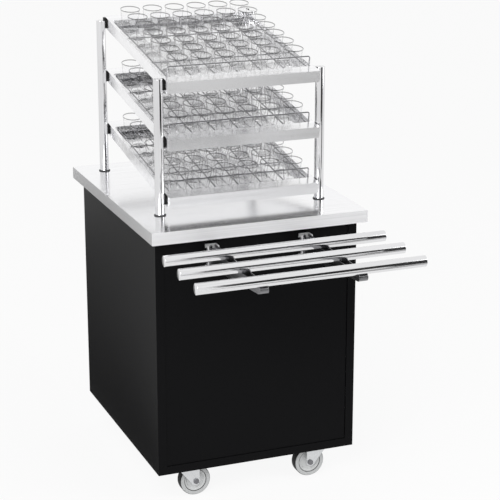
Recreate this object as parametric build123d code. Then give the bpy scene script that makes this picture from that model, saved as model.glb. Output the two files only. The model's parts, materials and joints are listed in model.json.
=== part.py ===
from build123d import *
from math import radians, tan
import os

# Glass and cup station: a wheeled cabinet with a stainless worktop, a three-tier sloping
# glass rack on four posts, and a fold-down tray slide of three tubes on the customer side.
# Millimetres. +Z is up, the customer stands at -Y and the operator at +Y.
# Lengths along Y are written from the worktop's front edge, and save() moves every piece
# so that the origin is the centre of the bounding box at floor level.

# Worktop
TOP_WIDTH = 700.0
TOP_DEPTH = 850.0
TOP_HEIGHT = 900.0
TOP_EDGE = 38.0
TOP_LIP = 15.0
SHEET = 1.5
CHANNEL_CREST = 40.0
CHANNEL_FOOT = 20.0

# Cabinet
CAB_WIDTH = 660.0
CAB_FRONT = 37.0
CAB_REAR = 794.0
SKIRT_BOTTOM = 103.0
SKIRT_HEIGHT = 27.0
STILE = 27.0
EDGE_LIP = 12.0
FRAME_TUBE = 25.0
BASE_BOTTOM = 130.0
BASE_TUBE = 30.0
PANEL_SETBACK = 3.0
PANEL_DEPTH = 15.0
PANEL_GAP = 0.5
MIDDLE_SHELF_HEIGHT = 500.0
SHELF_LIP = 30.0

# Casters
WHEEL_RADIUS = 50.0
WHEEL_HALF = 16.0
TREAD_CHAMFER = 3.0
HUB_RADIUS = 13.0
HUB_HALF = 18.8
AXLE_RADIUS = 5.0
AXLE_HEAD = 16.0
CASTER_TRAIL = 32.0
CASTER_X = 228.0
CASTER_INSET = 55.0
PLATE_THICKNESS = 3.0
PLATE_SIZE = (96.0, 80.0)
RACE_RADIUS = 27.0
RACE_HEIGHT = 8.0
KINGPIN_RADIUS = 6.0
KINGPIN_NUT = 18.0
CROWN_GAP = 0.5
RUNNING_GAP = 0.05
PIN_SIDES = 16
FORK_SHEET = 3.0
FORK_INSIDE = 19.0
FORK_HALF = 24.0
CROWN_THICKNESS = 5.0
BOSS_RADIUS = 13.0
PEDAL_PIVOT = (15.0, 104.6)
PEDAL_PIN = 3.0
PEDAL_CLEARANCE = 3.4
PEDAL_SHIFT = 2.4
PEDAL_SHEET = 2.0
PEDAL_WIDTH = 26.0
PEDAL_BENDS = 6
PEDAL_ARC = (15.0, 80.0)
PEDAL_TOE = (24.0, 8.0)

# Posts of the rack
POST_RADIUS = 15.0
POST_WALL = 1.5
POST_X = 264.0
POST_Y = {"front": 182.0, "rear": 764.0}
POST_HEIGHT = {"front": 423.0, "rear": 506.0}
CAP_THICKNESS = 2.0
SADDLE_LENGTH = 54.0
SADDLE_HEIGHT = 34.0
SADDLE_DEPTH = 7.0

# Sloping shelves: a height is that of the front top edge above the worktop
SHELF_TILT = 9.0
SHELF_FRONT = 141.0
SHELF_RISE = {"top": 417.0, "middle": 241.0, "bottom": 62.6}
SHELF_WIDTH = 494.0
SHELF_LENGTH = 645.0
SHELF_SKIRT = 36.0
WELL_START = 48.0
WELL_LENGTH = 545.0
WELL_WIDTH = 474.0
WELL_DEPTH = 26.0
WELL_CORNER = 10.0

# Glasses and their wire inserts
COLUMNS = 6
ROWS = 7
COLUMN_PITCH = 75.5
ROW_PITCH = WELL_LENGTH / ROWS
GLASS_HEIGHT = 75.0
GLASS_RIM = 32.0
GLASS_FOOT = 23.0
GLASS_WALL = 2.0
GLASS_FLOOR = 5.0
GLASS_SIDES = 6
WIRE = 4.0
GUARD_SETBACK = 6.0
GUARD_TOP = 30.0
GUARD_HALF = 232.0
GUARD_BEND = 8.0
LANE_DROP = 6.0

# Tray slide
TUBE_RADIUS = 17.0
TUBE_WALL = 1.5
TUBE_HALF = 353.0
TUBE_DROP = 51.0
TUBE_Y = {"rear": -112.0, "middle": -244.5, "front": -383.0}
ARM_X = 153.0
ARM_HALF = 14.0
ARM_SHEET = 2.5
ARM_DROP = 65.0
NOSE_RADIUS = 11.5
HEEL_RADIUS = 12.0
PIVOT_Y = 23.0
PIVOT_HEIGHT = 784.0
LOCK_RISE = 40.0
BOLT_RADIUS = 4.0
BOLT_ACROSS = 13.0
BRACKET_HALF = 17.5
BRACKET_FRONT = 11.0
BRACKET_BOTTOM = 770.0
BRACKET_TOP = 838.0

SLIDE_REACH = TUBE_RADIUS - TUBE_Y["front"]
CENTRE_Y = (TOP_DEPTH - SLIDE_REACH) / 2
CAB_TOP = TOP_HEIGHT - TOP_EDGE
CAB_HALF = CAB_WIDTH / 2
INNER_HALF = CAB_HALF - SHEET
PANEL_FACE = CAB_FRONT + PANEL_SETBACK
INNER_FRONT = PANEL_FACE + PANEL_DEPTH
INNER_REAR = CAB_REAR - SHEET
FLOOR_HEIGHT = BASE_BOTTOM + BASE_TUBE
CASTER_Y = {"front": CAB_FRONT + CASTER_INSET, "rear": CAB_REAR - CASTER_INSET}
RACE_BOTTOM = BASE_BOTTOM - PLATE_THICKNESS - RACE_HEIGHT
CROWN_TOP = RACE_BOTTOM - CROWN_GAP
CROWN_BOTTOM = CROWN_TOP - CROWN_THICKNESS
SHOULDER_BOTTOM = PEDAL_PIVOT[1] - 6
SIDES = {"left": -1, "right": 1}


def save(name, shape):
    """Moves a piece from the worktop-front frame to the bounding-box frame and writes it."""
    export_step(Location((0, -CENTRE_Y, 0)) * shape, f"parts/{name}.step")


def group(pieces):
    """One compound of separate solids."""
    return Compound([solid for piece in pieces for solid in piece.solids()])


def block(x_range, y_range, z_range):
    """A box between two planes on each axis, given in either order."""
    spans = [sorted(r) for r in (x_range, y_range, z_range)]
    size = [high - low for low, high in spans]
    return Location([(low + high) / 2 for low, high in spans]) * Box(*size)


def rod(start, end, radius):
    """A round bar between two points."""
    line = Line(start, end)
    return extrude(Plane(start, z_dir=line % 0) * Circle(radius), line.length)


def flats(start, end, radius):
    """A small bar whose flats lie inside its radius, for what repeats and turns in a round bore."""
    line = Line(start, end)
    return extrude(Plane(start, z_dir=line % 0) * RegularPolygon(radius, PIN_SIDES), line.length)


def hexagon(centre, direction, across, height):
    """A hexagonal bolt head or nut that stands on a face at centre."""
    plane = Plane(centre, z_dir=direction)
    return extrude(plane * RegularPolygon(across / 2, 6, major_radius=False), height)


def trapezia(low, high):
    """The flat faces between two closed rings of as many points."""
    following = zip(low, high, low[1:] + low[:1], high[1:] + high[:1])
    return [make_face(Polyline(a, b, d, c, close=True)) for a, b, c, d in following]


# Worktop


def worktop():
    """A folded sheet, its edges turned down and then in, with a hole for each post."""
    half, inner = TOP_WIDTH / 2, TOP_WIDTH / 2 - SHEET
    lip = half - TOP_LIP
    body = block((-half, half), (0, TOP_DEPTH), (CAB_TOP, TOP_HEIGHT))
    body -= block((-inner, inner), (SHEET, TOP_DEPTH - SHEET), (CAB_TOP + SHEET, TOP_HEIGHT - SHEET))
    body -= block((-lip, lip), (TOP_LIP, TOP_DEPTH - TOP_LIP), (CAB_TOP, CAB_TOP + SHEET))
    for x in (-POST_X, POST_X):
        for y in POST_Y.values():
            body -= rod((x, y, TOP_HEIGHT - SHEET), (x, y, TOP_HEIGHT), POST_RADIUS + RUNNING_GAP)
    return body


def omega_channel(y):
    """A hat-section stiffener across the worktop, its two feet against the sheet."""
    crest, foot = CHANNEL_CREST / 2, CHANNEL_CREST / 2 + CHANNEL_FOOT
    top, bottom = TOP_HEIGHT - SHEET, CAB_TOP
    outline = [
        (-foot, top), (-foot, top - SHEET), (-crest, top - SHEET), (-crest, bottom),
        (crest, bottom), (crest, top - SHEET), (foot, top - SHEET), (foot, top),
        (crest - SHEET, top), (crest - SHEET, bottom + SHEET),
        (SHEET - crest, bottom + SHEET), (SHEET - crest, top),
    ]
    reach = TOP_WIDTH / 2 - CHANNEL_FOOT
    plane = Plane((-reach, y, 0), x_dir=(0, 1, 0), z_dir=(1, 0, 0))
    return extrude(plane * make_face(Polyline(*outline, close=True)), 2 * reach)


# Cabinet: black skins on a skeleton of square tube, open on the operator side


def side_panel(side):
    """A skin whose edges turn in: a stile front and rear, a lip at the bottom."""
    outer = side * CAB_HALF
    height = (SKIRT_BOTTOM, CAB_TOP)
    skin = block((outer, side * INNER_HALF), (CAB_FRONT, CAB_REAR), height)
    for y in (CAB_FRONT, INNER_REAR):
        skin += block((outer, outer - side * STILE), (y, y + SHEET), height)
    lip = (SKIRT_BOTTOM, SKIRT_BOTTOM + SHEET)
    return skin + block((outer, outer - side * EDGE_LIP), (CAB_FRONT, CAB_REAR), lip)


def skirt(face, inward):
    """The cross strip between the stiles, its top edge turned in and its foot clear of the casters."""
    half = CAB_HALF - STILE
    top = SKIRT_BOTTOM + SKIRT_HEIGHT
    strip = block((-half, half), (face, face + inward * SHEET), (SKIRT_BOTTOM, top))
    return strip + block((-half, half), (face, face + inward * EDGE_LIP), (top - SHEET, top))


def front_panel():
    """The inset front: a tray of sheet between the stiles, turned back all round."""
    half = CAB_HALF - STILE - PANEL_GAP
    inside = half - SHEET
    low = SKIRT_BOTTOM + SKIRT_HEIGHT + PANEL_GAP
    tray = block((-half, half), (PANEL_FACE, INNER_FRONT), (low, CAB_TOP))
    return tray - block((-inside, inside), (PANEL_FACE + SHEET, INNER_FRONT), (low + SHEET, CAB_TOP - SHEET))


def uprights():
    """Four corner tubes from the base frame to the worktop."""
    tubes = []
    for side in SIDES.values():
        span = (side * INNER_HALF, side * (INNER_HALF - FRAME_TUBE))
        for y in (INNER_FRONT, INNER_REAR - FRAME_TUBE):
            tubes.append(block(span, (y, y + FRAME_TUBE), (FLOOR_HEIGHT, CAB_TOP)))
    return group(tubes)


def top_rails():
    """Two side rails and two cross rails between the uprights, under the worktop."""
    height = (CAB_TOP - FRAME_TUBE, CAB_TOP)
    reach = INNER_HALF - FRAME_TUBE
    depth = (INNER_FRONT + FRAME_TUBE, INNER_REAR - FRAME_TUBE)
    rails = [block((side * INNER_HALF, side * reach), depth, height) for side in SIDES.values()]
    for y in (INNER_FRONT, INNER_REAR - FRAME_TUBE):
        rails.append(block((-reach, reach), (y, y + FRAME_TUBE), height))
    return group(rails)


def base_frame():
    """Two side tubes and a pair of cross tubes over each pair of casters."""
    height = (BASE_BOTTOM, FLOOR_HEIGHT)
    reach = INNER_HALF - BASE_TUBE
    depth = (INNER_FRONT, INNER_REAR)
    bars = [block((side * INNER_HALF, side * reach), depth, height) for side in SIDES.values()]
    for y in CASTER_Y.values():
        for middle in (y - BASE_TUBE / 2 - 2, y + BASE_TUBE / 2 + 2):
            bars.append(
                block((-reach, reach), (middle - BASE_TUBE / 2, middle + BASE_TUBE / 2), height)
            )
    return group(bars)


def cabinet_floor():
    """The bottom shelf, notched round the four uprights."""
    reach = INNER_HALF - FRAME_TUBE
    height = (FLOOR_HEIGHT, FLOOR_HEIGHT + SHEET)
    middle = (INNER_FRONT + FRAME_TUBE, INNER_REAR - FRAME_TUBE)
    sheet = block((-reach, reach), (INNER_FRONT, INNER_REAR), height)
    return sheet + block((-INNER_HALF, INNER_HALF), middle, height)


def middle_shelf():
    """A sheet between the uprights, its front and rear edges folded down."""
    reach = INNER_HALF - FRAME_TUBE
    top = MIDDLE_SHELF_HEIGHT
    sheet = block((-reach, reach), (INNER_FRONT, INNER_REAR), (top - SHEET, top))
    for y in (INNER_FRONT, INNER_REAR - SHEET):
        sheet += block((-reach, reach), (y, y + SHEET), (top - SHELF_LIP, top))
    return sheet


# Casters, drawn with the pivot on the Z axis and the wheel trailing towards +X


def across_caster(bar, x, z, half, radius):
    """A bar along Y, centred on the caster."""
    return bar((x, -half, z), (x, half, z), radius)


def caster_plate():
    """Mounting plate, ball race and king pin with its nut under the crown."""
    plate_bottom = BASE_BOTTOM - PLATE_THICKNESS
    plate = block(
        (-PLATE_SIZE[0] / 2, PLATE_SIZE[0] / 2), (-PLATE_SIZE[1] / 2, PLATE_SIZE[1] / 2),
        (plate_bottom, BASE_BOTTOM),
    )
    race = flats((0, 0, RACE_BOTTOM), (0, 0, plate_bottom), RACE_RADIUS)
    nut_top = CROWN_BOTTOM - CROWN_GAP
    pin = flats((0, 0, nut_top), (0, 0, RACE_BOTTOM), KINGPIN_RADIUS)
    return plate + race + pin + hexagon((0, 0, nut_top), (0, 0, -1), KINGPIN_NUT, 4)


def fork(braked):
    """A pressed crown with two legs that taper and sweep back to the axle."""
    body = block((-FORK_HALF, FORK_HALF), (-FORK_INSIDE, FORK_INSIDE), (CROWN_BOTTOM, CROWN_TOP))
    shoulder = Rectangle(2 * FORK_HALF, CROWN_TOP - SHOULDER_BOTTOM, align=(Align.CENTER, Align.MAX))
    boss = Location((CASTER_TRAIL, WHEEL_RADIUS)) * Circle(BOSS_RADIUS)
    outline = make_hull((Location((0, CROWN_TOP)) * shoulder).edges() + boss.edges())
    for y in (-FORK_INSIDE, FORK_INSIDE + FORK_SHEET):
        body += extrude(Plane((0, y, 0), x_dir=(1, 0, 0), z_dir=(0, -1, 0)) * outline, FORK_SHEET)
    body -= rod((0, 0, CROWN_BOTTOM), (0, 0, CROWN_TOP), KINGPIN_RADIUS + RUNNING_GAP)
    if braked:
        body -= across_caster(rod, *PEDAL_PIVOT, FORK_INSIDE + FORK_SHEET, PEDAL_PIN + RUNNING_GAP)
    return body


def wheel():
    """A moulded wheel: a disc with broken edges turned from its profile, a hub and a round bore."""
    centre, edge = (CASTER_TRAIL, WHEEL_RADIUS), TREAD_CHAMFER
    half = [(0, WHEEL_HALF), (WHEEL_RADIUS - edge, WHEEL_HALF), (WHEEL_RADIUS, WHEEL_HALF - edge)]
    outline = half + [(radius, -y) for radius, y in reversed(half)]
    disc = revolve(make_face(Polyline(*outline, close=True)), Axis.Y)
    body = Location((CASTER_TRAIL, 0, WHEEL_RADIUS)) * disc
    body += across_caster(flats, *centre, HUB_HALF, HUB_RADIUS)
    return body - across_caster(rod, *centre, HUB_HALF, AXLE_RADIUS + RUNNING_GAP)


def axle():
    """A bolt: its shank between the legs, its head and nut outside them."""
    outside = FORK_INSIDE + FORK_SHEET
    pieces = [across_caster(flats, CASTER_TRAIL, WHEEL_RADIUS, FORK_INSIDE, AXLE_RADIUS)]
    for y in (-1, 1):
        pieces.append(hexagon((CASTER_TRAIL, y * outside, WHEEL_RADIUS), (0, y, 0), AXLE_HEAD, 6))
    return group(pieces)


def brake_pedal():
    """A strap bent over the tyre from its pivot pin, ending in a foot plate."""
    radius = WHEEL_RADIUS + PEDAL_CLEARANCE + PEDAL_SHEET / 2
    arc = CenterArc((CASTER_TRAIL + PEDAL_SHIFT, WHEEL_RADIUS), radius, *PEDAL_ARC)
    bends = [arc @ (i / PEDAL_BENDS) for i in range(PEDAL_BENDS + 1)]
    toe = bends[0]
    path = Polyline((toe.X + PEDAL_TOE[0], toe.Y + PEDAL_TOE[1]), *bends, PEDAL_PIVOT)
    plane = Plane((0, PEDAL_WIDTH / 2, 0), x_dir=(1, 0, 0), z_dir=(0, -1, 0))
    strap = extrude(plane * trace(path, PEDAL_SHEET), PEDAL_WIDTH)
    return strap + across_caster(flats, *PEDAL_PIVOT, FORK_INSIDE + FORK_SHEET, PEDAL_PIN)


def at_caster(shape, end, side):
    """Puts a caster piece in its corner, trailing inwards."""
    sign = SIDES[side]
    if sign > 0:
        shape = mirror(shape, about=Plane.YZ)
    return Location((sign * CASTER_X, CASTER_Y[end], 0)) * shape


# Rack


def on_shelf(tier, shape):
    """Tilts a piece drawn along the slope and puts it at a tier's front top edge."""
    corner = (0, SHELF_FRONT, TOP_HEIGHT + SHELF_RISE[tier])
    return Location(corner, (SHELF_TILT, 0, 0)) * shape


def shelf_pan():
    """A folded tray turned upside down, with a round-cornered well let into its top."""
    half, inner = SHELF_WIDTH / 2, SHELF_WIDTH / 2 - SHEET
    pan = block((-half, half), (0, SHELF_LENGTH), (-SHELF_SKIRT, 0))
    pan -= block((-inner, inner), (SHEET, SHELF_LENGTH - SHEET), (-SHELF_SKIRT, -SHEET))
    across, along = WELL_WIDTH / 2 + SHEET, (WELL_START - SHEET, WELL_START + WELL_LENGTH + SHEET)
    pan += block((-across, across), along, (-WELL_DEPTH - SHEET, 0))
    mouth = RectangleRounded(WELL_WIDTH, WELL_LENGTH, WELL_CORNER)
    return pan - extrude(Location((0, WELL_START + WELL_LENGTH / 2)) * mouth, -WELL_DEPTH)


def post(end, side):
    """A round tube through the worktop onto the channel below, its flat cap welded in flush."""
    x, y = SIDES[side] * POST_X, POST_Y[end]
    foot, top = CAB_TOP + SHEET, TOP_HEIGHT + POST_HEIGHT[end]
    bore = rod((x, y, foot), (x, y, top - CAP_THICKNESS), POST_RADIUS - POST_WALL)
    return rod((x, y, foot), (x, y, top), POST_RADIUS) - bore


def saddle(tier, end, side):
    """A plastic block between rail and post, grooved to seat the tube."""
    sign = SIDES[side]
    distance = POST_Y[end] - SHELF_FRONT
    rail_top = TOP_HEIGHT + SHELF_RISE[tier] + distance * tan(radians(SHELF_TILT))
    middle = rail_top - SHELF_SKIRT / 2
    near = SHELF_WIDTH / 2
    body = block(
        (sign * near, sign * (near + SADDLE_DEPTH)),
        (POST_Y[end] - SADDLE_LENGTH / 2, POST_Y[end] + SADDLE_LENGTH / 2),
        (middle - SADDLE_HEIGHT / 2, middle + SADDLE_HEIGHT / 2),
    )
    foot = (sign * POST_X, POST_Y[end], middle - SADDLE_HEIGHT)
    top = (sign * POST_X, POST_Y[end], middle + SADDLE_HEIGHT)
    return body - rod(foot, top, POST_RADIUS)


def wire(points):
    """A wire of square section along straight runs with mitred corners."""
    path = Polyline(*points)
    return sweep(Plane(path @ 0, z_dir=path % 0) * Rectangle(WIRE, WIRE), path, transition=Transition.RIGHT)


def guard():
    """A bent rod that stands in the well's front corners and bars the way over the front."""
    y, top, bend = WELL_START + GUARD_SETBACK, GUARD_TOP, GUARD_BEND
    left = [(-GUARD_HALF, y, -WELL_DEPTH), (-GUARD_HALF, y, top - bend), (bend - GUARD_HALF, y, top)]
    return wire(left + [(-x, y, z) for x, y, z in reversed(left)])


def lane_wires():
    """Wires between the columns: two cross wires carry their feet, two hang below them."""
    front, rear = WELL_START + GUARD_SETBACK, WELL_START + WELL_LENGTH - GUARD_SETBACK
    low = WIRE / 2 - WELL_DEPTH
    reach = GUARD_HALF - WIRE / 2
    wires = []
    for lane in range(COLUMNS + 1):
        x = (lane - COLUMNS / 2) * COLUMN_PITCH
        foot = low + WIRE / 2
        wires.append(wire([(x, front, foot), (x, front, -LANE_DROP), (x, rear, -LANE_DROP), (x, rear, foot)]))
    middles = [(WELL_START + rows * ROW_PITCH, -LANE_DROP - WIRE) for rows in (2, ROWS - 2)]
    for y, z in [(front, low), (rear, low), *middles]:
        wires.append(wire([(-reach, y, z), (reach, y, z)]))
    return group(wires)


def tumbler():
    """A tapered glass with flat sides, a thick floor and a thin wall."""
    slope = (GLASS_RIM - GLASS_FOOT) / GLASS_HEIGHT
    steps = [
        (GLASS_FOOT, 0), (GLASS_RIM, GLASS_HEIGHT), (GLASS_RIM - GLASS_WALL, GLASS_HEIGHT),
        (GLASS_FOOT + slope * GLASS_FLOOR - GLASS_WALL, GLASS_FLOOR),
    ]
    rings = [
        [vertex.center() for vertex in (Plane((0, 0, z)) * RegularPolygon(radius, GLASS_SIDES)).vertices()]
        for radius, z in steps
    ]
    faces = [make_face(Polyline(*ring, close=True)) for ring in (rings[0], rings[-1])]
    for low, high in zip(rings, rings[1:]):
        faces += trapezia(low, high)
    return Solid(Shell(faces))


def glasses():
    """The tumblers of one tier, in rows and columns between the lane wires."""
    glass = tumbler()
    places = []
    for column in range(COLUMNS):
        x = (column - (COLUMNS - 1) / 2) * COLUMN_PITCH
        for row in range(ROWS):
            places.append(Location((x, WELL_START + (row + 0.5) * ROW_PITCH, -WELL_DEPTH)))
    return group(place * glass for place in places)


# Tray slide, drawn in its raised position


def slide_tube(name):
    """A tube whose flat end caps are welded in and ground flush."""
    centre = (TUBE_Y[name], TOP_HEIGHT - TUBE_DROP)
    bore = TUBE_HALF - CAP_THICKNESS
    tube = rod((-TUBE_HALF, *centre), (TUBE_HALF, *centre), TUBE_RADIUS)
    return tube - rod((-bore, *centre), (bore, *centre), TUBE_RADIUS - TUBE_WALL)


def arm_plane(x):
    """A drawing plane whose axes are Y and Z, facing +X."""
    return Plane((x, 0, 0), x_dir=(0, 1, 0), z_dir=(1, 0, 0))


def slide_arm(side):
    """A tapered channel, open above, notched for the tubes and slotted for the lock bolt."""
    x = SIDES[side] * ARM_X
    top = TOP_HEIGHT - ARM_DROP
    rear = PIVOT_Y + HEEL_RADIUS
    nose = (TUBE_Y["front"], top - NOSE_RADIUS)
    heel = Location((PIVOT_Y, PIVOT_HEIGHT)) * Circle(HEEL_RADIUS)
    tip = Location(nose) * Circle(NOSE_RADIUS)
    corner = Location((rear - 1, top - 1)) * Rectangle(2, 2)
    outside = make_hull(heel.edges() + tip.edges() + corner.edges())
    heel_inside = Location((PIVOT_Y, PIVOT_HEIGHT)) * Circle(HEEL_RADIUS - ARM_SHEET)
    tip_inside = Location(nose) * Circle(NOSE_RADIUS - ARM_SHEET)
    above = Location((0, top + TUBE_RADIUS)) * Rectangle(2 * (NOSE_RADIUS - ARM_SHEET - nose[0]), 1)
    inside = make_hull(heel_inside.edges() + tip_inside.edges() + above.edges())
    body = extrude(arm_plane(x - ARM_HALF) * outside, 2 * ARM_HALF)
    body -= extrude(arm_plane(x - ARM_HALF + ARM_SHEET) * inside, 2 * (ARM_HALF - ARM_SHEET))
    for y in TUBE_Y.values():
        centre = (y, TOP_HEIGHT - TUBE_DROP)
        body -= extrude(arm_plane(x - ARM_HALF) * Location(centre) * Circle(TUBE_RADIUS), 2 * ARM_HALF)
    path = CenterArc((PIVOT_Y, PIVOT_HEIGHT), LOCK_RISE, 60, 30)
    slot = SlotArc(path, 2 * (BOLT_RADIUS + 0.4))
    body -= extrude(arm_plane(x - ARM_HALF) * slot, 2 * ARM_HALF)
    ends = [(x + end * ARM_HALF, PIVOT_Y, PIVOT_HEIGHT) for end in (-1, 1)]
    return body - rod(*ends, BOLT_RADIUS + RUNNING_GAP)


def slide_bracket(side):
    """A U of sheet on the cabinet front, its two ears round the arm."""
    x = SIDES[side] * ARM_X
    inner = BRACKET_HALF - ARM_SHEET
    height = (BRACKET_BOTTOM, BRACKET_TOP)
    body = block((x - BRACKET_HALF, x + BRACKET_HALF), (BRACKET_FRONT, PANEL_FACE), height)
    return body - block((x - inner, x + inner), (BRACKET_FRONT, PANEL_FACE - ARM_SHEET), height)


def cross_bolt(side, z):
    """A bolt across a bracket: its shank between the ears, its head and nut outside them."""
    x, inner = SIDES[side] * ARM_X, BRACKET_HALF - ARM_SHEET
    pieces = [flats((x - inner, PIVOT_Y, z), (x + inner, PIVOT_Y, z), BOLT_RADIUS)]
    for end in (-1, 1):
        pieces.append(hexagon((x + end * BRACKET_HALF, PIVOT_Y, z), (end, 0, 0), BOLT_ACROSS, 5))
    return group(pieces)


# Write every piece
os.makedirs("parts", exist_ok=True)
corners = [(end, side) for end in POST_Y for side in SIDES]

save("worktop", worktop())
save("worktop_channels", group(omega_channel(y) for y in (*POST_Y.values(), sum(POST_Y.values()) / 2)))
for name, sign in SIDES.items():
    save(f"side_panel_{name}", side_panel(sign))
save("front_panel", front_panel())
save("front_skirt", skirt(CAB_FRONT, 1))
save("rear_skirt", skirt(CAB_REAR, -1))
save("uprights", uprights())
save("top_rails", top_rails())
save("base_frame", base_frame())
save("cabinet_floor", cabinet_floor())
save("middle_shelf", middle_shelf())

save("caster_plates", group(at_caster(caster_plate(), *corner) for corner in corners))
for end, side in corners:
    save(f"fork_{end}_{side}", at_caster(fork(end == "rear"), end, side))
    save(f"caster_wheel_{end}_{side}", at_caster(wheel(), end, side))
    save(f"axle_{end}_{side}", at_caster(axle(), end, side))
for side in SIDES:
    save(f"brake_pedal_{side}", at_caster(brake_pedal(), "rear", side))

for end, side in corners:
    save(f"post_{end}_{side}", post(end, side))
save("saddles", group(saddle(tier, *corner) for tier in SHELF_RISE for corner in corners))
for tier in SHELF_RISE:
    save(f"shelf_{tier}", on_shelf(tier, shelf_pan()))
    save(f"guard_{tier}", on_shelf(tier, guard()))
    save(f"lane_wires_{tier}", on_shelf(tier, lane_wires()))
    save(f"glasses_{tier}", on_shelf(tier, glasses()))

for name in TUBE_Y:
    save(f"slide_tube_{name}", slide_tube(name))
for side in SIDES:
    save(f"slide_arm_{side}", slide_arm(side))
save("slide_brackets", group(slide_bracket(side) for side in SIDES))
save("slide_pivot_bolts", group(cross_bolt(side, PIVOT_HEIGHT) for side in SIDES))
save("slide_lock_bolts", group(cross_bolt(side, PIVOT_HEIGHT + LOCK_RISE) for side in SIDES))
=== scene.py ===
"""The glass and cup station: its round glasses, wires, tubes and wheels, its finishes, studio and camera.

Metres, in the row frame: +Z up, the customer at -Y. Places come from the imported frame.
"""
import json
import math

import bpy
import numpy as np
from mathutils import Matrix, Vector


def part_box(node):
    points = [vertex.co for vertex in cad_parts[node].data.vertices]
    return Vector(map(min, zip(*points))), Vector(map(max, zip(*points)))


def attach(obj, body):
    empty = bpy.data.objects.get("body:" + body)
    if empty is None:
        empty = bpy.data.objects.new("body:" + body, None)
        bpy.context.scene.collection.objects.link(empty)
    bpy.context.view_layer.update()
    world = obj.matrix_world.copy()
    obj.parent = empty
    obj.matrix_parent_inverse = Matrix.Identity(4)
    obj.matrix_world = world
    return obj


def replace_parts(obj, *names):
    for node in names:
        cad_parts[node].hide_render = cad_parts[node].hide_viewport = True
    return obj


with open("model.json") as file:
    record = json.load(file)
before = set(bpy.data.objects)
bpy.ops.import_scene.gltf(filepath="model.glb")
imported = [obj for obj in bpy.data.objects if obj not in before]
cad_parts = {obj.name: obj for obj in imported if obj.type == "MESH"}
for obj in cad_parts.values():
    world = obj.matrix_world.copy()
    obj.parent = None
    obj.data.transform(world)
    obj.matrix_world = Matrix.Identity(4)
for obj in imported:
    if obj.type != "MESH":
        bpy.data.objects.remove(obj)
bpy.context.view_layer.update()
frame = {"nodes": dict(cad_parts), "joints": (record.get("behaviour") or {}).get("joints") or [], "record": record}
nodes = frame["nodes"]
joint_place = {joint["name"]: np.array(joint["pos_m"]) for joint in frame["joints"]}

TIERS = ("top", "middle", "bottom")
SIDES = {"left": -1, "right": 1}
CORNERS = [(end, side) for end in ("front", "rear") for side in SIDES]

# Sloping tiers
SHELF_TILT = math.radians(9)
SHELF_SKIRT = 0.036
WELL_START = 0.048
WELL_LENGTH = 0.545
WELL_DEPTH = 0.026
COLUMNS = 6
ROWS = 7
COLUMN_PITCH = 0.0755
ROW_PITCH = WELL_LENGTH / ROWS

# Glasses
GLASS_HEIGHT = 0.075
GLASS_RIM = 0.032
GLASS_FOOT = 0.022
GLASS_FOOT_ROUND = 0.002
GLASS_FLARE = 0.85
GLASS_WALL = 0.0016
GLASS_LIP = 0.0035
GLASS_FLOOR = 0.008
GLASS_FLOOR_ROUND = 0.004
GLASS_FLOOR_RISE = 0.001
GLASS_FLOOR_FLAT = 0.006
GLASS_TURN = 20
GLASS_SHARP = 50

# The lip's section, measured from the rim's radius and the glass's height
LIP_SECTION = (
    (0, -0.0028), (0.0003, -0.0011), (-0.0004, 0), (-0.0012, 0), (-0.0019, -0.0011), (-0.0016, -0.0028),
)

# Wires
WIRE_RADIUS = 0.002
WIRE_TURN = 10
WIRE_BEND = 0.007
BEND_STEPS = 5
GUARD_SETBACK = 0.006
GUARD_TOP = 0.030
GUARD_HALF = 0.232
LANE_DROP = 0.006
CROSS_WIRE_ROWS = (2, ROWS - 2)

# Posts, tubes and saddles
TUBE_TURN = 72
EDGE_ROUND = 0.0012
COLLAR_BORE = 0.0152
COLLAR_TOP = 0.0158
COLLAR_RADIUS = 0.0185
COLLAR_HEIGHT = 0.003
SADDLE_DEPTH = 0.007
SADDLE_HALF = 0.010
SADDLE_HEIGHT = 0.034
SADDLE_ROUND = 0.0015
SADDLE_TURN = 24

# Screws and bolts
BRACKET_SHEET = 0.0025
SCREW_RADIUS = 0.005
SCREW_FLAT = 0.0032
SCREW_EDGE = 0.0016
SCREW_HEIGHT = 0.003
SCREW_TURN = 24
SCREW_FROM_FOOT = 0.034
SCREW_FROM_TOP = 0.010
BOLT_ACROSS = 0.013
BOLT_HEIGHT = 0.0055
PLATE_BOLTS = (0.038, 0.028)
PLATE_FACE = 0.127

# Wheels
WHEEL_HALF = 0.016
WHEEL_TURN = 64
TYRE_ROUND = 0.004
TREAD_DEPTH = 0.005
RIM_RADIUS = 0.036
RIM_HALF = 0.0145
RING_HALF = 0.001
RING_PROUD = 0.0006
HUB_RADIUS = 0.013
HUB_HALF = 0.0188
HUB_ROUND = 0.001
AXLE_RADIUS = 0.005
AXLE_GAP = 0.0002

# The rim's dish, from the hub out to the flange: radius and half thickness
DISH_SECTION = (
    (HUB_RADIUS + HUB_ROUND, 0.011), (0.027, 0.010), (0.031, RIM_HALF - 0.0005), (0.033, RIM_HALF),
)

# Fork cheeks
CHEEK_INSIDE = 0.022
CHEEK_SHEET = 0.0012
CHEEK_ROUND = 0.014
CHEEK_SHIFT = 0.002

# The cheek's upper corners: from the axle towards the king pin, and up
CHEEK_CROWN = ((0.050, 0.038), (0.050, 0.0515), (-0.012, 0.0515))

# Glass finish
GLASS_INDEX = 1.04
GLASS_BODY_SHADE = 0.985
# Painted shade in the glass's colour where a wall is seen edge on, and on the lip
GLASS_EDGE_ON_PAINTED_SHADE = 0.68
GLASS_LIP_PAINTED_SHADE = 0.40
EDGE_ON_START = 0.55

# The part of its range that a noise value mostly keeps to, for a level and for a tint
NOISE_LEVELS = (0.3, 0.7)
NOISE_TINTS = (0.35, 0.65)

# Studio
WORLD_LIGHT = 0.65
FLOOR_WHITE = 0.9
FLOOR_HALF = 12.0
CARD_LIFT = 0.002
GLASS_BOUNCES = 64
MIRROR_BOUNCES = 8

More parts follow.
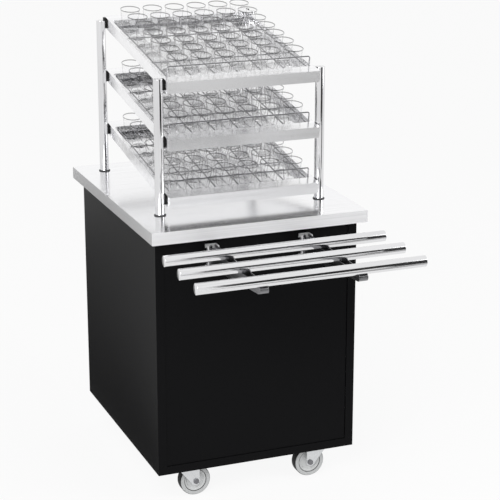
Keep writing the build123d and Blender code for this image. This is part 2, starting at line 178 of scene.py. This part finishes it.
# Camera, solved from the photograph's perspective
AZIMUTH = math.radians(-21.52)
ELEVATION = math.radians(17.29)
CAMERA_PLACE = (-1.838, -4.783, 2.341)
LENS = 122.4
SENSOR_WIDTH = 36


# Meshes


def ring_quads(rings, points):
    """Quads between successive rings of as many points, each ring closed on itself."""
    ring, point = np.meshgrid(np.arange(rings - 1), np.arange(points), indexing="ij")
    low, following = ring * points, (point + 1) % points
    corners = (low + point, low + following, low + points + following, low + points + point)
    return np.stack(corners, -1).reshape(-1, 4)


def capped_quads(rings, points):
    """The quads between rings, with a flat cap on the first ring and on the last."""
    last = (rings - 1) * points
    caps = [list(range(points))[::-1], list(range(last, last + points))]
    return ring_quads(rings, points).tolist() + caps


def turned(profile, turn, closed=False):
    """Points (r cos a, r sin a, h) for each (r, h) of a profile and each angle a round the Z axis.

    A closed profile ends where it starts, like a tyre's. An open one gets a flat cap at each end.
    """
    profile = np.asarray(profile)
    angle = np.linspace(0, 2 * np.pi, turn, endpoint=False)
    radius, height = profile[:, :1], profile[:, 1:]
    points = np.stack([radius * np.cos(angle), radius * np.sin(angle), height + 0 * angle], -1)
    if closed:
        faces = (ring_quads(len(profile) + 1, turn) % (len(profile) * turn)).tolist()
    else:
        faces = capped_quads(len(profile), turn)
    return points.reshape(-1, 3), faces


def bent(corners):
    """A path through straight runs, each inner corner p replaced by the curve
    (1-t)^2 a + 2t(1-t) p + t^2 b between the points a and b that lie WIRE_BEND away from it."""
    corners = np.asarray(corners, float)
    t = np.linspace(0, 1, BEND_STEPS)[:, None]
    path = [corners[:1]]
    for before, corner, after in zip(corners, corners[1:], corners[2:]):
        a = corner + WIRE_BEND * (before - corner) / np.linalg.norm(before - corner)
        b = corner + WIRE_BEND * (after - corner) / np.linalg.norm(after - corner)
        path.append((1 - t) ** 2 * a + 2 * t * (1 - t) * corner + t ** 2 * b)
    return np.vstack(path + [corners[-1:]])


def wire(path, flat_normal):
    """A circle of the wire's radius r carried along a path that lies in the plane with flat_normal:
    point + r cos(a) normal + r sin(a) (tangent x normal), with a cap at each end."""
    tangent = np.gradient(path, axis=0)
    tangent /= np.linalg.norm(tangent, axis=1, keepdims=True)
    normal = np.asarray(flat_normal, float)
    sideways = np.cross(tangent, normal)
    angle = np.linspace(0, 2 * np.pi, WIRE_TURN, endpoint=False)[:, None]
    points = path[:, None] + WIRE_RADIUS * (np.cos(angle) * normal + np.sin(angle) * sideways[:, None])
    return points.reshape(-1, 3), capped_quads(len(path), WIRE_TURN)


def joined(shapes):
    """Several shapes as one, their face numbers moved on."""
    shapes = list(shapes)
    starts = np.cumsum([0] + [len(points) for points, _ in shapes[:-1]])
    faces = [[i + int(start) for i in face] for start, (_, some) in zip(starts, shapes) for face in some]
    return np.vstack([points for points, _ in shapes]), faces


def moved(shape, offset):
    """A shape with an offset added to each point."""
    return shape[0] + np.asarray(offset), shape[1]


def along(shape, axis):
    """A shape drawn round Z laid round the X or Y axis by an even swap of coordinates."""
    order = {"X": [2, 0, 1], "Y": [1, 2, 0]}[axis]
    return shape[0][:, order], shape[1]


def turned_over(faces):
    """Faces that point the other way."""
    return [face[::-1] for face in faces]


def mirrored(shape, signs):
    """A shape mirrored along each axis whose sign is -1, one axis or all three, its faces outwards."""
    return shape[0] * np.array(signs), turned_over(shape[1])


def piece(name, shape, material, body, sharp=35, marks=None):
    """Puts a shape into a smooth mesh whose edges past the sharp angle stay crisp.

    marks are named values, one for each point, that the material reads.
    """
    mesh = bpy.data.meshes.new(name)
    mesh.from_pydata(shape[0].tolist(), [], shape[1])
    for mark, values in (marks or {}).items():
        layer = mesh.attributes.new(mark, "FLOAT", "POINT")
        layer.data.foreach_set("value", np.asarray(values, np.float32))
    mesh.materials.append(finish[material])
    mesh.shade_smooth()
    mesh.set_sharp_from_angle(angle=math.radians(sharp))
    thing = bpy.data.objects.new(name, mesh)
    bpy.context.scene.collection.objects.link(thing)
    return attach(thing, body)


def centre_of(node):
    """The middle of a node's box."""
    return np.mean(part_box(node), axis=0)


def hexagon(across, height):
    """A bolt head of six flats with a chamfered top."""
    radius = across / math.sqrt(3)
    return turned([(radius, 0), (radius, 0.8 * height), (0.86 * radius, height)], 6)


def rounded_bar(radius, length):
    """A bar along Z whose two end edges are quarter circles of radius EDGE_ROUND."""
    quarter = np.linspace(0, np.pi / 2, 5)
    reach = radius - EDGE_ROUND + EDGE_ROUND * np.sin(quarter)
    rise = EDGE_ROUND - EDGE_ROUND * np.cos(quarter)
    foot = np.stack([reach, rise], -1)
    head = np.stack([reach[::-1], length - rise[::-1]], -1)
    return turned(np.vstack([foot, head]), TUBE_TURN)


# Materials


def new_material(name):
    """A material, its node tree and its main shader."""
    material = bpy.data.materials.new(name)
    material.use_nodes = True
    return material, material.node_tree, material.node_tree.nodes["Principled BSDF"]


def pattern(tree, scale=1.0, stretch=(1, 1, 1), detail=3.0):
    """Noise on object coordinates, drawn out for a brushed grain along the axis stretched least."""
    place = tree.nodes.new("ShaderNodeTexCoord")
    mapping = tree.nodes.new("ShaderNodeMapping")
    mapping.inputs["Scale"].default_value = stretch
    noise = tree.nodes.new("ShaderNodeTexNoise")
    noise.inputs["Scale"].default_value = scale
    noise.inputs["Detail"].default_value = detail
    tree.links.new(place.outputs["Object"], mapping.inputs["Vector"])
    tree.links.new(mapping.outputs["Vector"], noise.inputs["Vector"])
    return noise.outputs["Fac"]


def map_range(tree, source, start, end, low=0.0, high=1.0):
    """A node that turns a value between start and end into one between low and high."""
    node = tree.nodes.new("ShaderNodeMapRange")
    for socket, value in (("From Min", start), ("From Max", end), ("To Min", low), ("To Max", high)):
        node.inputs[socket].default_value = value
    tree.links.new(source, node.inputs["Value"])
    return node


def spread(tree, noise, low, high):
    """Turns a noise value into one between low and high."""
    return map_range(tree, noise, *NOISE_LEVELS, low, high).outputs["Result"]


def tint(tree, noise, dark, light):
    """Turns a noise value into a colour between two."""
    ramp = tree.nodes.new("ShaderNodeValToRGB")
    for stop, position, colour in zip(ramp.color_ramp.elements, NOISE_TINTS, (dark, light)):
        stop.position = position
        stop.color = (*colour, 1)
    tree.links.new(noise, ramp.inputs["Fac"])
    return ramp.outputs["Color"]


def surface_relief(tree, noise, strength, distance, edge):
    """Bump from a noise value over edges softened by the edge's radius."""
    bump = tree.nodes.new("ShaderNodeBump")
    bump.inputs["Strength"].default_value = strength
    bump.inputs["Distance"].default_value = distance
    tree.links.new(noise, bump.inputs["Height"])
    if edge:
        bevel = tree.nodes.new("ShaderNodeBevel")
        bevel.samples = 4
        bevel.inputs["Radius"].default_value = edge
        tree.links.new(bevel.outputs["Normal"], bump.inputs["Normal"])
    return bump.outputs["Normal"]


def grained(tree, shader, grain, shades, relief):
    """Lets a grain vary the shader's colour between two shades, and its surface by the relief."""
    tree.links.new(tint(tree, grain, *shades), shader.inputs["Base Color"])
    tree.links.new(surface_relief(tree, grain, *relief), shader.inputs["Normal"])


def satin_front(tree, polish, edge, roughness):
    """The polish behind the front edge at y, and a satin roughness on the faces in front of it."""
    place = tree.nodes.new("ShaderNodeTexCoord")
    parts = tree.nodes.new("ShaderNodeSeparateXYZ")
    tree.links.new(place.outputs["Object"], parts.inputs["Vector"])
    mix = map_range(tree, parts.outputs["Y"], edge, edge + 0.002, roughness)
    tree.links.new(polish, mix.inputs["To Max"])
    return mix.outputs["Result"]


def steel(name, shade, roughness, stretch, relief=0.04, edge=0.0008, front=None):
    """Stainless or plated steel: grain varies its roughness, its shade and its surface."""
    material, tree, shader = new_material(name)
    shader.inputs["Metallic"].default_value = 1.0
    grain = pattern(tree, stretch=stretch)
    polish = spread(tree, grain, 0.75 * roughness, 1.25 * roughness)
    if front:
        polish = satin_front(tree, polish, *front)
    tree.links.new(polish, shader.inputs["Roughness"])
    shades = [tuple(factor * channel for channel in shade) for factor in (0.95, 1.03)]
    grained(tree, shader, grain, shades, (relief, 0.0002, edge))
    return material


def coated(name, shade, roughness, scale, relief, edge=0.0008, speckle=0.15, gloss=0.5):
    """Paint, plastic or rubber with a fine orange-peel or moulded grain."""
    material, tree, shader = new_material(name)
    shader.inputs["Specular IOR Level"].default_value = gloss
    grain = pattern(tree, scale, detail=4.0)
    polish = spread(tree, grain, 0.85 * roughness, 1.15 * roughness)
    tree.links.new(polish, shader.inputs["Roughness"])
    shades = [tuple(factor * channel for channel in shade) for factor in (1 - speckle, 1 + speckle)]
    grained(tree, shader, grain, shades, (relief, 0.0003, edge))
    return material


def toned(tree, factor, light, dark):
    """A node that turns a light grey into a dark one as the factor rises."""
    mix = tree.nodes.new("ShaderNodeMix")
    mix.data_type = "RGBA"
    mix.inputs["A"].default_value = (light, light, light, 1)
    mix.inputs["B"].default_value = (dark, dark, dark, 1)
    tree.links.new(factor, mix.inputs["Factor"])
    return mix


def clear_glass(name):
    """Clear glass with the faint waviness of a pressed tumbler, and painted shade that darkens it where its
    wall is seen edge on and at the thick lip, which is marked 1."""
    material, tree, shader = new_material(name)
    wave = pattern(tree, 45.0, detail=1.0)
    # Painted shade: the colour darkens at the marked lip and where the wall turns edge on
    lip = tree.nodes.new("ShaderNodeAttribute")
    lip.attribute_name = "lip"
    wall = tree.nodes.new("ShaderNodeLayerWeight")
    wall.inputs["Blend"].default_value = 0.5
    edge_on = map_range(tree, wall.outputs["Facing"], EDGE_ON_START, 1.0)
    body = toned(tree, edge_on.outputs["Result"], GLASS_BODY_SHADE, GLASS_EDGE_ON_PAINTED_SHADE)
    whole = toned(tree, lip.outputs["Fac"], GLASS_BODY_SHADE, GLASS_LIP_PAINTED_SHADE)
    tree.links.new(body.outputs["Result"], whole.inputs["A"])
    tree.links.new(whole.outputs["Result"], shader.inputs["Base Color"])
    shader.inputs["Transmission Weight"].default_value = 1.0
    shader.inputs["IOR"].default_value = GLASS_INDEX
    tree.links.new(spread(tree, wave, 0.0, 0.02), shader.inputs["Roughness"])
    return material


# Where a sheet's satin front ends, and the roughness in front of it
worktop_front = (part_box("worktop")[0].y + 0.0015, 0.6)
shelf_front = (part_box("shelf_top")[0].y + 0.0065, 0.22)

steels = {
    "worktop_steel": dict(
        shade=(0.91, 0.91, 0.92), roughness=0.17, stretch=(3, 220, 220), front=worktop_front,
    ),
    "shelf_steel": dict(
        shade=(0.92, 0.92, 0.93), roughness=0.20, stretch=(2, 60, 60), relief=0.02, front=shelf_front,
    ),
    "post_steel": dict(shade=(0.72, 0.72, 0.73), roughness=0.10, stretch=(200, 200, 2), relief=0.02, edge=0),
    "tube_steel": dict(shade=(0.78, 0.78, 0.79), roughness=0.12, stretch=(2, 200, 200), relief=0.02, edge=0),
    "arm_steel": dict(shade=(0.26, 0.26, 0.27), roughness=0.34, stretch=(160, 4, 160)),
    "frame_steel": dict(shade=(0.60, 0.61, 0.62), roughness=0.32, stretch=(120, 120, 8)),
    "wire_steel": dict(shade=(0.36, 0.36, 0.37), roughness=0.14, stretch=(40, 40, 40), relief=0.02, edge=0),
    "bolt_steel": dict(
        shade=(0.20, 0.20, 0.21), roughness=0.24, stretch=(90, 90, 90), relief=0.05, edge=0.0004,
    ),
    "caster_zinc": dict(shade=(0.66, 0.67, 0.68), roughness=0.26, stretch=(60, 60, 60), relief=0.06),
    "pedal_steel": dict(shade=(0.50, 0.51, 0.52), roughness=0.34, stretch=(60, 60, 60), relief=0.06),
}
coatings = {
    "bracket_steel": dict(shade=(0.78, 0.78, 0.79), roughness=0.35, scale=300.0, relief=0.05, speckle=0.03),
    "black_panel": dict(shade=(0.005, 0.005, 0.0055), roughness=0.30, scale=900.0, relief=0.04, gloss=0.05),
    "saddle_plastic": dict(shade=(0.006, 0.006, 0.006), roughness=0.5, scale=700.0, relief=0.08, gloss=0.2),
    "wheel_plastic": dict(
        shade=(0.66, 0.67, 0.67), roughness=0.4, scale=500.0, relief=0.05, edge=0.0006, speckle=0.04,
    ),
    "tyre_rubber": dict(
        shade=(0.56, 0.57, 0.57), roughness=0.6, scale=600.0, relief=0.12, edge=0, speckle=0.08,
    ),
    "tread_rubber": dict(
        shade=(0.012, 0.012, 0.012), roughness=0.6, scale=600.0, relief=0.12, edge=0, speckle=0.1, gloss=0.2,
    ),
    "ring_rubber": dict(
        shade=(0.03, 0.03, 0.032), roughness=0.6, scale=600.0, relief=0.1, edge=0, speckle=0.1,
    ),
}
finish = {name: steel(name, **look) for name, look in steels.items()}
finish.update((name, coated(name, **look)) for name, look in coatings.items())
finish["glass"] = clear_glass("glass")

for subpart in frame["record"]["subparts"]:
    mesh = nodes[subpart["node"]].data
    mesh.materials.clear()
    mesh.materials.append(finish[subpart["material_slot"]])
nodes["slide_brackets"].data.materials[0] = finish["bracket_steel"]


# Rack


def on_slope(tier, shape):
    """Turns (x, s, n), with s up the slope and n off it, into the row frame:
    y = y0 + s cos t - n sin t and z = z0 + s sin t + n cos t from the shelf's front top edge."""
    low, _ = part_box(f"shelf_{tier}")
    x, s, n = shape[0].T
    cosine, sine = math.cos(SHELF_TILT), math.sin(SHELF_TILT)
    y = low.y + s * cosine - n * sine
    z = low.z + SHELF_SKIRT * cosine + s * sine + n * cosine
    return np.stack([x, y, z], -1), shape[1]


def tumbler():
    """Outer radius foot + (rim - foot) t^GLASS_FLARE up the height, a rounded lip, and an inner wall
    one wall's thickness inside it down to a rounded floor."""
    straight = GLASS_HEIGHT - GLASS_LIP
    t = np.array([0.03, 0.35, 0.7, straight / GLASS_HEIGHT])
    radius = GLASS_FOOT + (GLASS_RIM - GLASS_FOOT) * t ** GLASS_FLARE
    foot = [(GLASS_FOOT - GLASS_FOOT_ROUND, 0)]
    outer = np.stack([radius, GLASS_HEIGHT * t], -1)
    lip = np.array([GLASS_RIM, GLASS_HEIGHT]) + LIP_SECTION
    inner = np.stack([radius - GLASS_WALL, GLASS_HEIGHT * t], -1)[:0:-1]
    floor = [
        (inner[-1, 0] - GLASS_FLOOR_ROUND, GLASS_FLOOR + GLASS_FLOOR_RISE), (GLASS_FLOOR_FLAT, GLASS_FLOOR),
    ]
    return turned(np.vstack([foot, outer, lip, inner, floor]), GLASS_TURN)


def glasses(tier):
    """A tumbler in the middle of each place between the lane wires, with the points of its lip marked,
    where the glass gets its painted lip shade.
    """
    glass = tumbler()
    places = [
        ((column - (COLUMNS - 1) / 2) * COLUMN_PITCH, WELL_START + (row + 0.5) * ROW_PITCH, -WELL_DEPTH)
        for column in range(COLUMNS)
        for row in range(ROWS)
    ]
    shape = on_slope(tier, joined(moved(glass, place) for place in places))
    # The marked lip points get painted shade from the glass finish
    lip = np.tile(glass[0][:, 2] > GLASS_HEIGHT - 0.9 * GLASS_LIP, len(places))
    made = piece(f"tumblers_{tier}", shape, "glass", "station", GLASS_SHARP, {"lip": lip})
    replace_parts(made, f"glasses_{tier}")


def guard(tier):
    """A round rod bent over the front of the well."""
    y = WELL_START + GUARD_SETBACK
    corners = [
        (-GUARD_HALF, y, -WELL_DEPTH), (-GUARD_HALF, y, GUARD_TOP), (GUARD_HALF, y, GUARD_TOP),
        (GUARD_HALF, y, -WELL_DEPTH),
    ]
    shape = on_slope(tier, wire(bent(corners), (0, 1, 0)))
    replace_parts(piece(f"front_guard_{tier}", shape, "wire_steel", "station"), f"guard_{tier}")


def lane_wires(tier):
    """Raised wires between the columns with their ends bent down, on four cross wires."""
    front, rear = WELL_START + GUARD_SETBACK, WELL_START + WELL_LENGTH - GUARD_SETBACK
    foot = 2 * WIRE_RADIUS - WELL_DEPTH
    shapes = []
    for lane in range(COLUMNS + 1):
        x = (lane - COLUMNS / 2) * COLUMN_PITCH
        corners = [(x, front, foot), (x, front, -LANE_DROP), (x, rear, -LANE_DROP), (x, rear, foot)]
        shapes.append(wire(bent(corners), (1, 0, 0)))
    low, hung = WIRE_RADIUS - WELL_DEPTH, -LANE_DROP - 2 * WIRE_RADIUS
    middles = [(WELL_START + rows * ROW_PITCH, hung) for rows in CROSS_WIRE_ROWS]
    for y, z in [(front, low), (rear, low), *middles]:
        path = np.array([(-GUARD_HALF, y, z), (0, y, z), (GUARD_HALF, y, z)])
        shapes.append(wire(path, (0, 1, 0)))
    shape = on_slope(tier, joined(shapes))
    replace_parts(piece(f"lanes_{tier}", shape, "wire_steel", "station"), f"lane_wires_{tier}")


def rack_post(end, side):
    """A round post with softly broken end edges."""
    low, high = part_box(f"post_{end}_{side}")
    x, y, _ = centre_of(f"post_{end}_{side}")
    bar = rounded_bar((high.x - low.x) / 2, high.z - low.z)
    post = piece(f"round_post_{end}_{side}", moved(bar, (x, y, low.z)), "post_steel", "station")
    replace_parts(post, f"post_{end}_{side}")


def post_collar(end, side):
    """A dark collar on the worktop round the foot of a post."""
    x, y, _ = centre_of(f"post_{end}_{side}")
    worktop_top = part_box("worktop")[1].z
    profile = [
        (COLLAR_BORE, 0.0), (COLLAR_RADIUS, 0.0), (COLLAR_RADIUS, 0.7 * COLLAR_HEIGHT),
        (COLLAR_TOP, COLLAR_HEIGHT), (COLLAR_BORE, COLLAR_HEIGHT),
    ]
    collar = moved(turned(profile, TUBE_TURN, closed=True), (x, y, worktop_top))
    piece(f"post_collar_{end}_{side}", collar, "ring_rubber", "station")


def saddle_block(tier, end, side):
    """A block between the rail and the post that it holds. In plan it is a rounded rectangle whose
    corners run p + r (cos a, sin a), and it is drawn up in height with broken edges."""
    _, post_y, _ = centre_of(f"post_{end}_{side}")
    rail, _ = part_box(f"shelf_{tier}")
    rail_top = rail.z + SHELF_SKIRT * math.cos(SHELF_TILT) + (post_y - rail.y) * math.tan(SHELF_TILT)
    middle = rail_top - SHELF_SKIRT / 2
    across = SIDES[side] * (abs(rail.x) + SADDLE_DEPTH / 2)
    angle = np.linspace(0, 2 * np.pi, SADDLE_TURN, endpoint=False)
    corner = np.stack([np.cos(angle), np.sin(angle)], -1)
    half = np.array([SADDLE_DEPTH / 2, SADDLE_HALF])
    outline = np.sign(corner) * (half - SADDLE_ROUND) + SADDLE_ROUND * corner
    rings = []
    for height, shrink in ((-1, 0.9), (-0.94, 1), (0.94, 1), (1, 0.9)):
        x, y = (outline * shrink).T
        z = np.full(SADDLE_TURN, middle + height * SADDLE_HEIGHT / 2)
        rings.append(np.column_stack([across + x, post_y + y, z]))
    return np.vstack(rings), capped_quads(len(rings), SADDLE_TURN)


# Tray slide


def slide_tube(name):
    """A round tube along X, closed at both ends, with softly broken end edges."""
    low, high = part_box(f"slide_tube_{name}")
    _, y, z = centre_of(f"slide_tube_{name}")
    bar = along(rounded_bar((high.z - low.z) / 2, high.x - low.x), "X")
    tube = piece(f"round_slide_tube_{name}", moved(bar, (low.x, y, z)), "tube_steel", "tray_slide")
    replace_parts(tube, f"slide_tube_{name}")


def bracket_screws():
    """Two screw heads on the back plate of each bracket, between its ears."""
    low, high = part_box("slide_brackets")
    panel_low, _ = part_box("front_panel")
    profile = [(SCREW_RADIUS, 0), (SCREW_RADIUS, SCREW_EDGE), (SCREW_FLAT, SCREW_HEIGHT)]
    head = mirrored(along(turned(profile, SCREW_TURN), "Y"), (1, -1, 1))
    places = [
        (centre_of(f"slide_arm_{side}")[0], panel_low.y - BRACKET_SHEET, height)
        for side in SIDES
        for height in (low.z + SCREW_FROM_FOOT, high.z - SCREW_FROM_TOP)
    ]
    piece("bracket_screws", joined(moved(head, place) for place in places), "bolt_steel", "station")


# Casters


def tyre_and_tread(radius):
    """The tyre's pale walls and the dark tread round it, as closed profiles. The wall turns into the
    tread along the quarter circle (R - r + r sin a, r - w - r cos a)."""
    quarter = np.linspace(0, np.pi / 2, 6)
    shoulder = np.stack([
        radius - TYRE_ROUND + TYRE_ROUND * np.sin(quarter),
        TYRE_ROUND - WHEEL_HALF - TYRE_ROUND * np.cos(quarter),
    ], -1)
    wall, crown = shoulder[:3], shoulder[2:]
    seam, inside = crown[0, 1], radius - TREAD_DEPTH
    bead = RIM_RADIUS + RING_HALF
    tyre = np.vstack([
        [(bead, -WHEEL_HALF)], wall, [(inside, seam), (inside, -seam)], wall[::-1] * (1, -1),
        [(bead, WHEEL_HALF)],
    ])
    tread = np.vstack([[(inside, seam)], crown, crown[::-1] * (1, -1), [(inside, -seam)]])
    return tyre, tread


def ring_profile():
    """A thin dark ring between the rim and the tyre, proud of the rim on both sides."""
    near, far, side = RIM_RADIUS - RING_HALF, RIM_RADIUS + RING_HALF, RIM_HALF + RING_PROUD
    return [(near, -side), (far, -side), (far, side), (near, side)]


def rim_profile():
    """The rim from its flange over the dish to the hub and the bore, and back on the other side."""
    half = np.array([
        (AXLE_RADIUS + AXLE_GAP, HUB_HALF), (HUB_RADIUS - HUB_ROUND, HUB_HALF),
        (HUB_RADIUS, HUB_HALF - HUB_ROUND), *DISH_SECTION, (RIM_RADIUS - RING_HALF, RIM_HALF),
    ])
    return np.vstack([half[::-1], half * (1, -1)])


def wheel(end, side):
    """Tyre, tread, fitted ring and dished rim, turned round the axle."""
    low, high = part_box(f"caster_wheel_{end}_{side}")
    tyre, tread = tyre_and_tread((high.z - low.z) / 2)
    for part, profile, material in (
        ("tyre", tyre, "tyre_rubber"), ("tread", tread, "tread_rubber"),
        ("ring", ring_profile(), "ring_rubber"), ("rim", rim_profile(), "wheel_plastic"),
    ):
        disc = along(turned(profile, WHEEL_TURN, closed=True), "Y")
        shape = moved(disc, centre_of(f"caster_wheel_{end}_{side}"))
        made = piece(f"{part}_{end}_{side}", shape, material, f"wheel_{end}_{side}")
    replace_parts(made, f"caster_wheel_{end}_{side}")


def fork_cheeks(end, side):
    """A flat cheek on the outside of each fork leg. Its outline is the arc c + r (cos a, sin a) under
    the axle, opened out to the crown above, drawn across its thickness with a broken outer edge."""
    sign = SIDES[side]
    low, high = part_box(f"caster_wheel_{end}_{side}")
    angle = np.linspace(np.pi, 11 / 6 * np.pi, 14)
    arc = np.stack([CHEEK_ROUND * np.cos(angle) + CHEEK_SHIFT, CHEEK_ROUND * np.sin(angle)], -1)
    outline = np.vstack([arc, CHEEK_CROWN])
    middle = outline.mean(axis=0)
    sheets = []
    for face in (-1, 1):
        rings = []
        for depth, shrink in ((0, 1), (0.8, 1), (1, 0.985)):
            x, z = (middle + shrink * (outline - middle)).T
            y = np.full(len(outline), face * (CHEEK_INSIDE + depth * CHEEK_SHEET))
            rings.append(np.column_stack([sign * x, y, z]))
        faces = capped_quads(len(rings), len(outline))
        sheets.append((np.vstack(rings), turned_over(faces) if sign * face > 0 else faces))
    shape = moved(joined(sheets), (low + high) / 2)
    piece(f"fork_cheeks_{end}_{side}", shape, "caster_zinc", f"caster_{end}_{side}")


def plate_bolts():
    """Four hexagon heads under each caster plate."""
    head = mirrored(hexagon(BOLT_ACROSS, BOLT_HEIGHT), (1, 1, -1))
    places = [
        (x + i * PLATE_BOLTS[0], y + j * PLATE_BOLTS[1], PLATE_FACE)
        for x, y, _ in (joint_place[f"caster_swivel_{end}_{side}"] for end, side in CORNERS)
        for i in (-1, 1)
        for j in (-1, 1)
    ]
    piece("caster_plate_bolts", joined(moved(head, place) for place in places), "bolt_steel", "station")


for tier in TIERS:
    glasses(tier)
    guard(tier)
    lane_wires(tier)
for end, side in CORNERS:
    rack_post(end, side)
    post_collar(end, side)
    wheel(end, side)
    fork_cheeks(end, side)
blocks = joined(saddle_block(tier, end, side) for tier in TIERS for end, side in CORNERS)
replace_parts(piece("saddle_blocks", blocks, "saddle_plastic", "station"), "saddles")
for name in ("rear", "middle", "front"):
    slide_tube(name)
bracket_screws()
plate_bolts()


# Studio


def seen_rays(tree):
    """1 for rays that come from the camera, from a mirror or through glass."""
    path = tree.nodes.new("ShaderNodeLightPath")
    either = path.outputs["Is Camera Ray"]
    for ray in ("Is Glossy Ray", "Is Transmission Ray"):
        most = tree.nodes.new("ShaderNodeMath")
        most.operation = "MAXIMUM"
        tree.links.new(either, most.inputs[0])
        tree.links.new(path.outputs[ray], most.inputs[1])
        either = most.outputs[0]
    return either


def mixed(tree, factor, first, second):
    """The first shader where the factor is 0, and the second where it is 1."""
    mix = tree.nodes.new("ShaderNodeMixShader")
    for source, socket in zip((factor, first, second), mix.inputs):
        tree.links.new(source, socket)
    return mix.outputs[0]


def studio_world():
    """White where it is seen, mirrored or seen through, and a softer level as a light."""
    world = bpy.data.worlds.new("studio")
    bpy.context.scene.world = world
    world.use_nodes = True
    tree = world.node_tree
    seen = tree.nodes["Background"]
    seen.inputs["Color"].default_value = (1, 1, 1, 1)
    light = tree.nodes.new("ShaderNodeBackground")
    light.inputs["Strength"].default_value = WORLD_LIGHT
    both = mixed(tree, seen_rays(tree), light.outputs[0], seen.outputs[0])
    tree.links.new(both, tree.nodes["World Output"].inputs["Surface"])


def sheet_of_stage(name, points, faces, material):
    """A surface of the studio, which isn't part of the object."""
    mesh = bpy.data.meshes.new(name)
    mesh.from_pydata(np.asarray(points, float).tolist(), [], faces)
    mesh.materials.append(material)
    thing = bpy.data.objects.new(name, mesh)
    bpy.context.scene.collection.objects.link(thing)
    return thing


def floor():
    """A large pale floor under the wheels, nearly white where it is seen, with the object's shadow."""
    material, tree, shader = new_material("pale_floor")
    cloud = tint(tree, pattern(tree, 0.4), (0.93, 0.93, 0.93), (0.95, 0.95, 0.95))
    tree.links.new(cloud, shader.inputs["Base Color"])
    shader.inputs["Roughness"].default_value = 0.9
    white = tree.nodes.new("ShaderNodeEmission")
    share = tree.nodes.new("ShaderNodeMath")
    share.operation = "MULTIPLY"
    share.inputs[1].default_value = FLOOR_WHITE
    tree.links.new(seen_rays(tree), share.inputs[0])
    both = mixed(tree, share.outputs[0], shader.outputs[0], white.outputs[0])
    tree.links.new(both, tree.nodes["Material Output"].inputs["Surface"])
    corners = [(x * FLOOR_HALF, y * FLOOR_HALF, 0) for x, y in ((-1, -1), (1, -1), (1, 1), (-1, 1))]
    sheet_of_stage("floor", corners, [(0, 1, 2, 3)], material)


def card(name, sheets, shades, across):
    """A grey card near the object for polished steel to mirror, seen by no other ray.

    Its shade runs along the direction across through all of shades, each a distance in metres and
    a grey.
    """
    material, tree, shader = new_material(name)
    place = tree.nodes.new("ShaderNodeTexCoord")
    distance_across = tree.nodes.new("ShaderNodeVectorMath")
    distance_across.operation = "DOT_PRODUCT"
    distance_across.inputs[1].default_value = across
    tree.links.new(place.outputs["Object"], distance_across.inputs[0])
    start, end = shades[0][0], shades[-1][0]
    reach = map_range(tree, distance_across.outputs["Value"], start, end)
    ramp = tree.nodes.new("ShaderNodeValToRGB")
    for distance, _ in shades[1:-1]:
        ramp.color_ramp.elements.new((distance - start) / (end - start))
    for stop, (_, grey) in zip(ramp.color_ramp.elements, shades):
        stop.color = (grey, grey, grey, 1)
    tree.links.new(reach.outputs["Result"], ramp.inputs["Fac"])
    tree.links.new(ramp.outputs["Color"], shader.inputs["Base Color"])
    shader.inputs["Roughness"].default_value = 0.95
    shader.inputs["Specular IOR Level"].default_value = 0.1
    faces = [tuple(range(4 * i, 4 * i + 4)) for i in range(len(sheets))]
    thing = sheet_of_stage(name, np.reshape(sheets, (-1, 3)), faces, material)
    thing.visible_camera = thing.visible_diffuse = thing.visible_transmission = thing.visible_shadow = False


def lying(*corners):
    """A sheet just off the floor."""
    return [(x, y, CARD_LIFT) for x, y in corners]


def light_bounces():
    """Enough bounces for light to pass a whole row of glasses."""
    cycles = bpy.context.scene.cycles
    cycles.max_bounces = cycles.transmission_bounces = GLASS_BOUNCES
    cycles.glossy_bounces = MIRROR_BOUNCES


def soft_light(name, place, aim, size, power):
    """A square lamp turned towards a point."""
    lamp = bpy.data.lights.new(name, "AREA")
    lamp.size = size
    lamp.energy = power
    thing = bpy.data.objects.new(name, lamp)
    thing.location = place
    direction = Vector(aim) - thing.location
    thing.rotation_euler = direction.to_track_quat("-Z", "Y").to_euler()
    bpy.context.scene.collection.objects.link(thing)


def camera():
    """Looks along the solved azimuth and elevation from the solved place."""
    level = math.cos(ELEVATION)
    back = Vector((math.sin(AZIMUTH) * level, -math.cos(AZIMUTH) * level, math.sin(ELEVATION)))
    lens = bpy.data.cameras.new("camera")
    lens.lens = LENS
    lens.sensor_width = SENSOR_WIDTH
    thing = bpy.data.objects.new("camera", lens)
    thing.location = CAMERA_PLACE
    thing.rotation_euler = (-back).to_track_quat("-Z", "Y").to_euler()
    bpy.context.scene.collection.objects.link(thing)
    bpy.context.scene.camera = thing


studio_world()
floor()
card(
    "standing_card",
    sheets=[
        [(0.2, -3.3, 0.6), (2.5, -2.2, 0.6), (2.5, -2.2, 2.4), (0.2, -3.3, 2.4)],
        [(1.55, -2.65, 0), (2.5, -2.2, 0), (2.5, -2.2, 0.6), (1.55, -2.65, 0.6)],
    ],
    shades=[(0, 0.03), (3, 0.05)],
    across=(1, 0, 0),
)
card(
    "lying_card",
    sheets=[lying((0, -1.2), (2.4, -1.2), (2.4, -2.6), (0, -2.6))],
    shades=[(1.2, 1.0), (1.5, 0.15), (1.85, 0.72), (2.1, 0.52), (2.4, 0.28), (2.9, 1.0)],
    across=(0.8, -0.6, 0),
)
card(
    "side_card",
    sheets=[lying((-0.36, -0.35), (-0.36, 2.4), (-1.6, 5.0), (-1.6, 3.35))],
    shades=[(0.3, 0.03), (1.15, 0.5), (1.22, 0.42), (1.6, 1.0)],
    across=(-1, 0, 0),
)
soft_light("key", place=(-2.6, -3.2, 3.4), aim=(0, 0, 0.9), size=2.6, power=110)
soft_light("fill", place=(3.4, -2.2, 2.0), aim=(0, 0, 0.8), size=2.2, power=45)
light_bounces()
camera()
bpy.context.scene.view_settings.view_transform = "Standard"
